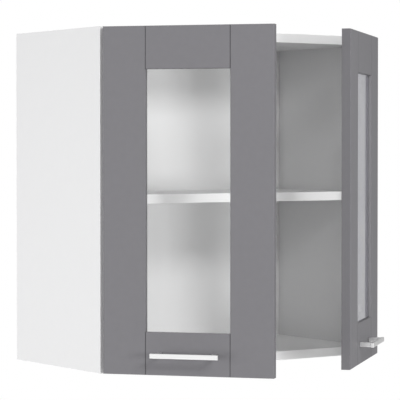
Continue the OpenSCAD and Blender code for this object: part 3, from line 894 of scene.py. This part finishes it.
@shape_tree("Cam bolt", {"Length": 34 * MM, "Head end": 2 * MM, "Neck end": 7 * MM,
                         "Collar end": 24 * MM, "Head radius": 3 * MM, "Neck radius": 1.8 * MM,
                         "Thread radius": 2.5 * MM, "Thread pitch": 1.4 * MM})
def bolt_tree(t, given):
    """A cam bolt: head, neck, collar and threaded end."""
    edge, step = 0.4 * MM, 0.02 * MM
    head, neck, collar = (given[part + " end"] for part in ("Head", "Neck", "Collar"))
    wide, thin, screw_r = (given[part + " radius"] for part in ("Head", "Neck", "Thread"))
    core = t.times(screw_r, 0.8)
    tip = t.minus(given["Length"], screw_r)
    body = turned(t, [(0.0, t.minus(wide, edge)), (edge, wide), (t.minus(head, edge), wide),
                      (head, thin), (neck, thin), (t.plus(neck, edge), wide),
                      (t.minus(collar, step), wide), (collar, core), (tip, core),
                      (given["Length"], t.times(core, 0.35))])
    ridge = thread(t, screw_r, t.plus(collar, 1 * MM), tip, given["Thread pitch"])
    return joined(t, body, ridge)


@shape_tree("Chamfered pin", {"Length": 20 * MM, "Radius": 2.5 * MM, "Chamfer": 0.6 * MM})
def pin_tree(t, given):
    """A plain pin with chamfered ends."""
    radius, length, edge = given["Radius"], given["Length"], given["Chamfer"]
    inner = t.minus(radius, t.times(edge, 0.8))
    return turned(t, [(0.0, inner), (edge, radius), (t.minus(length, edge), radius),
                      (length, inner)])


@shape_tree("Fluted dowel", {"Length": 30 * MM, "Radius": 4 * MM, "Chamfer": 0.6 * MM})
def dowel_tree(t, given):
    """A wooden dowel with chamfered ends and pressed flutes."""
    radius, length, edge = given["Radius"], given["Length"], given["Chamfer"]
    inner = t.minus(radius, edge)
    flutes = t.first("GeometryNodeCurveStar", {"Points": 16, "Inner Radius": 0.93,
                                               "Outer Radius": 1.0})
    return turned(t, [(0.0, inner), (edge, radius), (t.minus(length, edge), radius),
                      (length, inner)], profile=flutes)


@shape_tree("Wire nail", {"Length": 14 * MM, "Radius": 0.6 * MM})
def nail_tree(t, given):
    """A wire nail with a small sunk head and a point."""
    radius, length = given["Radius"], given["Length"]
    wide = t.times(radius, 1.25)
    point = t.minus(length, t.times(radius, 3.5))
    return turned(t, [(0.0, t.times(wide, 0.8)), (0.15 * MM, wide), (0.7 * MM, wide),
                      (1.3 * MM, radius), (point, radius), (length, t.times(radius, 0.1))], 12)


@shape_tree("Domed cap", {"Length": 1 * MM, "Radius": 7 * MM, "Dome share": 0.2})
def dome_tree(t, given):
    """A low round cap whose outer face is slightly domed."""
    radius, thick = given["Radius"], given["Length"]
    rise = t.math("MINIMUM", t.times(radius, given["Dome share"]), t.times(thick, 0.7))
    outline = []
    for out in (0.0, 0.4, 0.7, 0.88, 0.97, 1.0):
        drop = 1.0 - math.sqrt(1.0 - out ** 2)
        outline.append((t.times(rise, drop), t.times(radius, max(out, 0.01))))
    return turned(t, [*outline, (thick, radius)], 32)


@shape_tree("Seal strip", {"Width": 200 * MM, "Height": 400 * MM, "Strip width": 7 * MM,
                           "Strip thickness": 0.5 * MM}, spun=False)
def strip_tree(t, given):
    """A flat strip with rounded edges, mitred round an upright rectangle."""
    wide, high = (t.minus(given[side], given["Strip width"]) for side in ("Width", "Height"))
    path = t.first("GeometryNodeCurvePrimitiveQuadrilateral", {"Width": wide, "Height": high})
    upright = t.first("GeometryNodeTransform", {"Geometry": path,
                                                "Rotation": (math.pi / 2, 0, 0)})
    # Every point of the path is a corner, where the section is cut across its diagonal
    section = t.first("GeometryNodeCurvePrimitiveQuadrilateral",
                      {"Width": given["Strip thickness"],
                       "Height": t.times(given["Strip width"], math.sqrt(2))})
    soft = t.first("GeometryNodeFilletCurve",
                   {"Curve": section, "Count": 3, "Limit Radius": True,
                    "Radius": t.times(given["Strip thickness"], 0.4)}, mode="POLY")
    return t.first("GeometryNodeCurveToMesh", {"Curve": upright, "Profile Curve": soft})


def run_tree(tree, points, directions, values, material):
    """Evaluates a tree on points with directions, and returns the result as a plain mesh."""
    base = bpy.data.meshes.new("points")
    base.from_pydata([tuple(p) for p in points], [], [])
    stored = base.attributes.new("direction", "FLOAT_VECTOR", "POINT")
    stored.data.foreach_set("vector", np.array(directions, dtype=np.float32).ravel())
    holder = bpy.data.objects.new("points", base)
    bpy.context.scene.collection.objects.link(holder)
    modifier = holder.modifiers.new("Shapes", "NODES")
    modifier.node_group = tree
    inputs = {s.name: s.identifier for s in tree.interface.items_tree
              if s.item_type == "SOCKET" and s.in_out == "INPUT"}
    for label, value in values.items():
        modifier[inputs[label]] = value
    modifier[inputs["Finish"]] = material
    depsgraph = bpy.context.evaluated_depsgraph_get()
    mesh = bpy.data.meshes.new_from_object(holder.evaluated_get(depsgraph))
    bpy.data.objects.remove(holder)
    bpy.data.meshes.remove(base)
    return mesh


def rod_sizes(outline):
    """Sizes of a plain pin or cap."""
    return {"Length": outline[-1][0], "Radius": max(r for d, r in outline)}


def screw_sizes(outline):
    """Sizes of a screw: its head is at the start and its bare shank at the end."""
    length = outline[-1][0]
    head_r = max(r for d, r in outline if d < NEAR)
    shank_r = max(r for d, r in outline if d > length - NEAR)
    head_h = max(d for d, r in outline if abs(r - head_r) < 2 * NEAR and d < length / 2 + NEAR)
    return {"Length": length, "Head radius": head_r, "Head height": head_h,
            "Shank radius": shank_r}


def bolt_sizes(outline):
    """Sizes of a cam bolt, whose neck is its thinnest part."""
    length, screw_r = outline[-1]
    neck_r = min(r for d, r in outline)
    neck = [d for d, r in outline if r == neck_r]
    return {"Length": length, "Head end": min(neck), "Neck end": max(neck),
            "Collar end": min(d for d, r in outline if r == screw_r),
            "Head radius": max(r for d, r in outline), "Neck radius": neck_r,
            "Thread radius": screw_r}


def repeated_piece(node, axis, tree, more=None, measure=rod_sizes):
    """Puts a tree's shape in place of every solid of a node.

    The shape gets what the measure function finds in the node's outline, and more values.
    """
    starts, directions, outline = measured_rods(node, axis)
    values = {**measure(outline), **(more or {})}
    mesh = run_tree(tree(), starts, directions, values, finish(SLOTS[node]))
    mesh.name = node + "_finished"
    shape = bmesh.new()
    shape.from_mesh(mesh)
    bmesh.ops.remove_doubles(shape, verts=shape.verts, dist=MERGE)
    bmesh.ops.recalc_face_normals(shape, faces=shape.faces)
    shape.to_mesh(mesh)
    shape.free()
    add_piece(mesh, node)


# Operators, one for each piece or group of like pieces

class CABINET_OT_boards(bpy.types.Operator):
    """Coated sides, top, bottom and shelf"""

    bl_idname = "cabinet.boards"
    bl_label = "Carcass boards"

    def execute(self, context):
        for node in ("left_side", "right_side", "top_panel", "bottom_panel", "shelf"):
            eased_piece(node, context.scene.cabinet_sizes.board_edge, shortest=LONG_EDGE,
                        sharp_end=REAR)
        return {"FINISHED"}


class CABINET_OT_back_panel(bpy.types.Operator):
    """Thin white back panel"""

    bl_idname = "cabinet.back_panel"
    bl_label = "Back panel"

    def execute(self, context):
        eased_piece("back_panel", context.scene.cabinet_sizes.board_edge / 2, sharp_end=REAR)
        return {"FINISHED"}


class CABINET_OT_edge_bands(bpy.types.Operator):
    """Edge bands on the front edges"""

    bl_idname = "cabinet.edge_bands"
    bl_label = "Edge bands"

    def execute(self, context):
        for node in ("side_edge_bands", "panel_edge_bands", "shelf_edge_band"):
            eased_piece(node, context.scene.cabinet_sizes.band_edge, sharp_end=REAR)
        return {"FINISHED"}


class CABINET_OT_door_frames(bpy.types.Operator):
    """Stiles and rails of both doors, with V grooves where they meet"""

    bl_idname = "cabinet.door_frames"
    bl_label = "Door frames"

    def execute(self, context):
        for side in DOORS:
            parts = ("hinge_stile", "free_stile", "top_rail", "bottom_rail")
            self.door(context, [side + "_" + part for part in parts])
        return {"FINISHED"}

    def door(self, context, nodes):
        """The four members of one door, with painted shade in their joints and painted light
        beside the pane.
        """
        boxes = np.array([closed_box(node) for node in nodes])
        rim = 2 * MM
        low, high = boxes[:, 0].min(0) + rim, boxes[:, 1].max(0) - rim
        lintel, sill = boxes[2, 0, 2], boxes[3, 1, 2]

        # Painted shade (-1) in the V grooves of the joints, painted light (1) on the faces inside
        # the glass opening
        def shade(face):
            middle, normal = face.calc_center_median(), face.normal
            if not all(low[k] < middle[k] < high[k] for k in (0, 2)):
                return 0.0
            if abs(normal.y) < 0.1:
                return float(sill - MERGE < middle.z < lintel - MERGE)
            chamfered = 0.3 < -normal.y < 0.95
            in_joint = abs(normal.x) > 0.1 and not sill < middle.z < lintel
            return -float(chamfered and (in_joint or normal.z < -0.1))

        width = context.scene.cabinet_sizes.frame_edge
        for node in nodes:
            cuts = (sill, lintel) if "stile" in node else ()
            eased_piece(node, width, shortest=LONG_EDGE, shade=shade, cuts=cuts)


class CABINET_OT_glazing(bpy.types.Operator):
    """Panes, seals, beads and the nails that hold them"""

    bl_idname = "cabinet.glazing"
    bl_label = "Glazing"

    def execute(self, context):
        sizes = context.scene.cabinet_sizes
        for side in DOORS:
            eased_piece(side + "_glass", sizes.glass_edge, steps=1)
            eased_piece(side + "_glass_beads", sizes.bead_edge, steps=3)
            repeated_piece(side + "_bead_nails", "x", nail_tree)
            self.seal(side + "_glass_seal")
        return {"FINISHED"}

    def seal(self, node):
        """Sweeps the seal's section round the pane."""
        low, high = closed_box(node)
        solid = separate_solids(node)[0]
        inner = min(p[0] for p in solid if low.x + 1 * MM < p[0] < (low.x + high.x) / 2)
        values = {"Width": high.x - low.x, "Height": high.z - low.z,
                  "Strip width": inner - low.x, "Strip thickness": high.y - low.y}
        middle = (low + high) / 2
        mesh = run_tree(strip_tree(), [middle], [(0, 0, 1)], values, finish(SLOTS[node]))
        add_piece(mesh, node)


class CABINET_OT_handles(bpy.types.Operator):
    """Flat bar handles on two legs"""

    bl_idname = "cabinet.handles"
    bl_label = "Handles"

    def execute(self, context):
        width = context.scene.cabinet_sizes.handle_edge
        for side in DOORS:
            eased_piece(side + "_handle", width, steps=3, shortest=3 * MM)
        return {"FINISHED"}


class CABINET_OT_hinges(bpy.types.Operator):
    """Hinge cups, arms, mounting plates and pins"""

    bl_idname = "cabinet.hinges"
    bl_label = "Hinges"

    def execute(self, context):
        sizes = context.scene.cabinet_sizes
        for side in DOORS:
            for part in ("hinge_plates", "hinge_arms", "hinge_cups"):
                eased_piece(f"{side}_{part}", sizes.sheet_edge, shortest=3 * MM)
            repeated_piece(side + "_hinge_pins", "z", pin_tree, {"Chamfer": sizes.pin_edge / 2})
        return {"FINISHED"}


class CABINET_OT_hangers(bpy.types.Operator):
    """Steel angles that hang the cabinet on the wall"""

    bl_idname = "cabinet.hangers"
    bl_label = "Wall hangers"

    def execute(self, context):
        for side in DOORS:
            eased_piece(side + "_hanger", context.scene.cabinet_sizes.sheet_edge)
        return {"FINISHED"}


class CABINET_OT_corner_fittings(bpy.types.Operator):
    """Cam locks, cam bolts and the caps over the locks"""

    bl_idname = "cabinet.corner_fittings"
    bl_label = "Corner fittings"

    def execute(self, context):
        sizes = context.scene.cabinet_sizes
        eased_piece("cam_locks", sizes.sheet_edge)
        pitch = {"Thread pitch": sizes.thread_pitch}
        repeated_piece("cam_bolts", "x", bolt_tree, pitch, bolt_sizes)
        repeated_piece("cam_caps", "z", dome_tree, {"Dome share": sizes.dome_share / 3})
        return {"FINISHED"}


class CABINET_OT_dowels(bpy.types.Operator):
    """Fluted beech dowels of the carcass and the door frames"""

    bl_idname = "cabinet.dowels"
    bl_label = "Dowels"

    def execute(self, context):
        chamfer = {"Chamfer": context.scene.cabinet_sizes.pin_edge}
        for node in ("carcass_dowels", "left_rail_dowels", "right_rail_dowels"):
            repeated_piece(node, "x", dowel_tree, chamfer)
        return {"FINISHED"}


class CABINET_OT_shelf_pins(bpy.types.Operator):
    """Steel pins that carry the shelf"""

    bl_idname = "cabinet.shelf_pins"
    bl_label = "Shelf pins"

    def execute(self, context):
        chamfer = {"Chamfer": context.scene.cabinet_sizes.pin_edge}
        repeated_piece("shelf_pins", "x", pin_tree, chamfer)
        return {"FINISHED"}


class CABINET_OT_screws(bpy.types.Operator):
    """All screws, with cross recesses and threads"""

    bl_idname = "cabinet.screws"
    bl_label = "Screws"

    def execute(self, context):
        sizes = context.scene.cabinet_sizes
        headed = {"hanger_screws": "x", "hinge_plate_screws": "x", "arm_fixing_screws": "x"}
        for side in DOORS:
            headed[side + "_cup_screws"] = "y"
            headed[side + "_handle_screws"] = "y"
        cuts = {"Recess share": sizes.recess_share, "Thread pitch": sizes.thread_pitch}
        for node, axis in headed.items():
            repeated_piece(node, axis, screw_tree, cuts, screw_sizes)
        repeated_piece("arm_adjusting_screws", "x", grub_tree,
                       {"Thread pitch": sizes.thread_pitch / 2})
        return {"FINISHED"}


class CABINET_OT_bumpers(bpy.types.Operator):
    """Soft bumpers on the backs of the doors"""

    bl_idname = "cabinet.bumpers"
    bl_label = "Bumpers"

    def execute(self, context):
        dome = {"Dome share": context.scene.cabinet_sizes.dome_share}
        for side in DOORS:
            repeated_piece(side + "_bumpers", "y", dome_tree, dome)
        return {"FINISHED"}


class CABINET_OT_stage(bpy.types.Operator):
    """Floor, surroundings, lamps and camera"""

    bl_idname = "cabinet.stage"
    bl_label = "Stage"

    def execute(self, context):
        stage = context.scene.cabinet_stage
        self.floor(stage)
        self.surroundings(stage)
        self.softbox("front_softbox", stage.front, azimuth=1.4, elevation=-3, distance=2.6,
                     size=(0.60, 0.5))
        self.softbox("above_softbox", stage.above, azimuth=-9, elevation=26, distance=2.8,
                     size=(1.1, 0.5))
        self.softbox("side_softbox", stage.side, azimuth=-92, elevation=-6, distance=2.6,
                     size=(1.3, 1.3))
        self.camera(stage)
        context.scene.view_settings.view_transform = "Standard"
        return {"FINISHED"}

    def place(self, name, data):
        thing = bpy.data.objects.new(name, data)
        bpy.context.scene.collection.objects.link(thing)
        return thing

    def floor(self, stage):
        """A wide pale floor that looks white where no shadow falls on it."""
        half = 8.0
        corners = ((-half, -half), (half, -half), (half, half), (-half, half))
        mesh = bpy.data.meshes.new("floor")
        mesh.from_pydata([(x, y, stage.floor_z) for x, y in corners], [], [(0, 1, 2, 3)])
        f = Finish("Pale floor")
        speckle = f.effect(fine_pores, Size=0.02)["Mask"]
        f.colour(f.mix(speckle, (0.84, 0.84, 0.84), (0.82, 0.82, 0.82)))
        f.rough(0.8, f.times(speckle, 0.05))
        path = f.node("ShaderNodeLightPath").outputs
        seen = f.math("MAXIMUM", path["Is Camera Ray"], path["Is Glossy Ray"])
        seen = f.math("MAXIMUM", seen, path["Is Transmission Ray"])
        f.put(f.shader, "Emission Color", WHITE)
        f.put(f.shader, "Emission Strength", f.times(seen, stage.floor_glow))
        below = f.node("ShaderNodeNewGeometry").outputs["Backfacing"]
        clear = f.first("ShaderNodeBsdfTransparent")
        mixed = f.first("ShaderNodeMixShader", {0: below, 1: f.shader.outputs[0], 2: clear})
        f.put(f.output, "Surface", mixed)
        mesh.materials.append(f.material)
        self.place("floor", mesh)

    def surroundings(self, stage):
        """Even light from all round that looks white, in reflections too but for a dark side."""
        world = bpy.data.worlds.new("Studio")
        bpy.context.scene.world = world
        world.use_nodes = True
        t = Tree(world.node_tree)
        world.node_tree.nodes.clear()
        path = t.node("ShaderNodeLightPath").outputs
        seen = t.math("MAXIMUM", path["Is Camera Ray"], path["Is Transmission Ray"])
        way = t.node("ShaderNodeTexCoord").outputs["Generated"]
        to_dark_side = t.vector_math("DOT_PRODUCT", way, (0.85, 0.52, 0.0))
        mirrored = t.spread(to_dark_side, 0.7, 0.9, 1.0, stage.dark_side)
        strength = t.spread(path["Is Glossy Ray"], 0.0, 1.0, stage.ambient, mirrored)
        strength = t.spread(seen, 0.0, 1.0, strength, 1.0)
        light = t.first("ShaderNodeBackground", {"Color": WHITE, "Strength": strength})
        t.node("ShaderNodeOutputWorld", {"Surface": light})

    def softbox(self, name, power, azimuth, elevation, distance, size):
        """A softbox that faces the middle of the cabinet, turned in degrees from its front."""
        lamp = bpy.data.lights.new(name, "AREA")
        lamp.shape = "RECTANGLE"
        lamp.size, lamp.size_y = size
        lamp.energy = power
        box = self.place(name, lamp)
        low, high = CAD_BOX
        middle = (Vector(low) + Vector(high)) / 2
        turn = Matrix.Rotation(math.radians(azimuth), 4, "Z")
        tilt = Matrix.Rotation(-math.radians(elevation), 4, "X")
        away = (turn @ tilt @ Vector((0.0, -distance, 0.0, 0.0))).to_3d()
        box.location = middle + away
        box.rotation_euler = (-away).to_track_quat("-Z", "Y").to_euler()
        for kind_of_ray in ("camera", "glossy", "transmission"):
            setattr(box, "visible_" + kind_of_ray, False)

    def camera(self, stage):
        """The camera at the photograph's place."""
        data = bpy.data.cameras.new("camera")
        data.lens = stage.lens
        data.sensor_width = 36.0
        data.clip_end = 100.0
        camera = self.place("camera", data)
        camera.location = stage.eye
        camera.rotation_euler = (math.pi / 2 - stage.pitch, 0.0, -stage.yaw)
        bpy.context.scene.camera = camera


PIECE_OPERATORS = (
    CABINET_OT_boards,
    CABINET_OT_back_panel,
    CABINET_OT_edge_bands,
    CABINET_OT_door_frames,
    CABINET_OT_glazing,
    CABINET_OT_handles,
    CABINET_OT_hinges,
    CABINET_OT_hangers,
    CABINET_OT_corner_fittings,
    CABINET_OT_dowels,
    CABINET_OT_shelf_pins,
    CABINET_OT_screws,
    CABINET_OT_bumpers,
    CABINET_OT_stage,
)


class CABINET_PT_panel(bpy.types.Panel):
    """Sidebar panel with the steps and their values"""

    bl_idname = "CABINET_PT_panel"
    bl_label = "Wall Cabinet"
    bl_space_type = "VIEW_3D"
    bl_region_type = "UI"
    bl_category = "Cabinet"

    def draw(self, context):
        layout = self.layout
        for operator in PIECE_OPERATORS:
            layout.operator(operator.bl_idname)
        for group in ("cabinet_sizes", "cabinet_colours", "cabinet_stage"):
            values = getattr(context.scene, group)
            box = layout.box()
            for name in values.__annotations__:
                box.prop(values, name)


CLASSES = (CabinetSizes, CabinetColours, CabinetStage, *PIECE_OPERATORS, CABINET_PT_panel)


def register():
    for item in CLASSES:
        bpy.utils.register_class(item)
    bpy.types.Scene.cabinet_sizes = PointerProperty(type=CabinetSizes)
    bpy.types.Scene.cabinet_colours = PointerProperty(type=CabinetColours)
    bpy.types.Scene.cabinet_stage = PointerProperty(type=CabinetStage)


def unregister():
    del bpy.types.Scene.cabinet_stage
    del bpy.types.Scene.cabinet_colours
    del bpy.types.Scene.cabinet_sizes
    for item in reversed(CLASSES):
        bpy.utils.unregister_class(item)


def main():
    register()
    for operator in PIECE_OPERATORS:
        getattr(bpy.ops.cabinet, operator.bl_idname.split(".")[1])()


if __name__ == "__main__":
    main()
